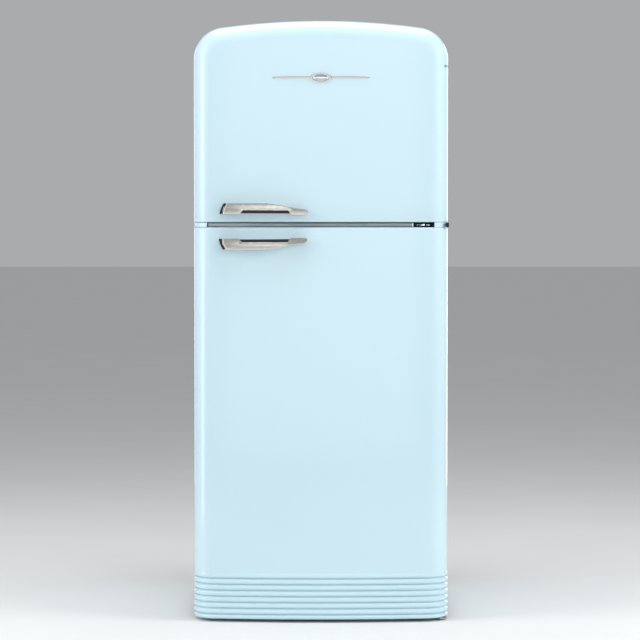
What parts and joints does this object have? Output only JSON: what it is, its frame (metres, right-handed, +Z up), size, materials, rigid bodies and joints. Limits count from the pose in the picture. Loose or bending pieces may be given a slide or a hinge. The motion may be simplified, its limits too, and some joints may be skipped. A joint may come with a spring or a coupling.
{
  "type": "top freezer refrigerator",
  "caption": "Retro two-door refrigerator with an arched top freezer, bowed doors on right-hand hinges, cast lever handles and a ribbed base.",
  "frame": {"origin": "on the floor, under the centre of the bounding box", "axes": "+X to the right seen from the front, the doors and handles face -Y, +Z up"},
  "size_m": [0.797, 0.769, 1.875],
  "materials": {
    "pastel_enamel": "high-gloss pastel blue enamel",
    "satin_nickel": "satin warm nickel on a die casting",
    "bright_chrome": "polished",
    "zinc_steel": "zinc plated",
    "galvanised": "galvanised sheet",
    "white_liner": "vacuum-formed white",
    "insulation_foam": "rigid polyurethane foam, matt",
    "seal_grey": "soft PVC, satin",
    "black_rubber": "matt",
    "grey_strip": "satin silver-grey",
    "display_black": "polished black",
    "shelf_glass": "toughened, clear",
    "clear_plastic": "clear moulded",
    "grey_plastic": "moulded",
    "black_enamel": "black stove enamel",
    "fin_aluminium": "mill finish",
    "lamp_white": "opal diffuser"
  },
  "bodies": {
    "cabinet": {"cabinet_shell": "pastel_enamel", "middle_hinge_bracket": "pastel_enamel", "mullion_end": "pastel_enamel", "bottle_rack": "bright_chrome", "top_hinge_bracket": "zinc_steel", "top_hinge_pin": "zinc_steel", "middle_hinge_pin": "zinc_steel", "bottom_hinge_bracket": "zinc_steel", "bottom_hinge_pin": "zinc_steel", "back_panel": "galvanised", "base_tray": "galvanised", "machine_cover": "galvanised", "fridge_liner": "white_liner", "freezer_liner": "white_liner", "ice_maker_frame": "white_liner", "evaporator_cover": "white_liner", "air_duct": "white_liner", "cabinet_insulation": "insulation_foam", "cord_gland": "black_rubber", "mullion_strip": "grey_strip", "control_display": "display_black", "shelf_upper": "shelf_glass", "shelf_middle": "shelf_glass", "shelf_lower": "shelf_glass", "crisper_cover": "shelf_glass", "freezer_shelf": "shelf_glass", "compressor": "black_enamel", "condenser": "black_enamel", "evaporator": "fin_aluminium", "ceiling_light": "lamp_white"},
    "freezer_door": {"freezer_door_skin": "pastel_enamel", "freezer_door_core": "insulation_foam", "freezer_door_liner": "white_liner", "freezer_door_gasket": "seal_grey", "freezer_door_bin_lower": "clear_plastic", "freezer_door_bin_upper": "clear_plastic", "freezer_door_handle": "satin_nickel", "badge": "bright_chrome", "freezer_door_bush_top": "grey_plastic", "freezer_door_bush_bottom": "grey_plastic"},
    "fridge_door": {"fridge_door_skin": "pastel_enamel", "fridge_door_base": "pastel_enamel", "fridge_door_core": "insulation_foam", "fridge_door_liner": "white_liner", "fridge_door_gasket": "seal_grey", "bottle_bin": "clear_plastic", "door_balcony": "clear_plastic", "dairy_tray": "clear_plastic", "fridge_door_handle": "satin_nickel", "fridge_door_bush_top": "grey_plastic", "fridge_door_bush_bottom": "grey_plastic"},
    "dairy_lid": {"dairy_lid": "clear_plastic"},
    "crisper_drawer": {"crisper_drawer": "clear_plastic"},
    "fresh_drawer": {"fresh_drawer": "clear_plastic"},
    "ice_tray": {"ice_tray": "grey_plastic"},
    "evaporator_fan": {"evaporator_fan": "black_rubber"},
    "front_foot_left": {"front_foot_left": "black_rubber"},
    "front_foot_right": {"front_foot_right": "black_rubber"},
    "rear_roller_left": {"rear_roller_left": "grey_plastic"},
    "rear_roller_right": {"rear_roller_right": "grey_plastic"}
  },
  "joints": [
    {"name": "freezer_door_hinge", "type": "hinge", "parent": "cabinet", "child": "freezer_door", "pos_m": [0.38, -0.282, 1.5], "axis": [0, 0, 1], "range_deg": [0, 115]},
    {"name": "fridge_door_hinge", "type": "hinge", "parent": "cabinet", "child": "fridge_door", "pos_m": [0.38, -0.282, 0.6], "axis": [0, 0, 1], "range_deg": [0, 115]},
    {"name": "dairy_lid_hinge", "type": "hinge", "parent": "fridge_door", "child": "dairy_lid", "pos_m": [0, -0.238, 1.1], "axis": [1, 0, 0], "range_deg": [0, 75]},
    {"name": "crisper_slide", "type": "slide", "parent": "cabinet", "child": "crisper_drawer", "axis": [0, -1, 0], "range_m": [0, 0.095]},
    {"name": "fresh_drawer_slide", "type": "slide", "parent": "cabinet", "child": "fresh_drawer", "axis": [0, -1, 0], "range_m": [0, 0.095]},
    {"name": "ice_tray_twist", "type": "hinge", "parent": "cabinet", "child": "ice_tray", "pos_m": [-0.195, 0.03, 1.722], "axis": [0, 1, 0], "range_deg": [0, 150], "stiffness_Nm_per_rad": 0.12},
    {"name": "evaporator_fan_spin", "type": "hinge", "parent": "cabinet", "child": "evaporator_fan", "pos_m": [0, 0.2125, 1.69], "axis": [0, 1, 0], "continuous": true},
    {"name": "front_foot_left_screw", "type": "slide", "parent": "cabinet", "child": "front_foot_left", "axis": [0, 0, -1], "range_m": [0, 0.015]},
    {"name": "front_foot_right_screw", "type": "slide", "parent": "cabinet", "child": "front_foot_right", "axis": [0, 0, -1], "range_m": [0, 0.015]},
    {"name": "rear_roller_left_spin", "type": "hinge", "parent": "cabinet", "child": "rear_roller_left", "pos_m": [-0.335, 0.318, 0.019], "axis": [1, 0, 0], "continuous": true},
    {"name": "rear_roller_right_spin", "type": "hinge", "parent": "cabinet", "child": "rear_roller_right", "pos_m": [0.335, 0.318, 0.019], "axis": [1, 0, 0], "continuous": true}
  ]
}
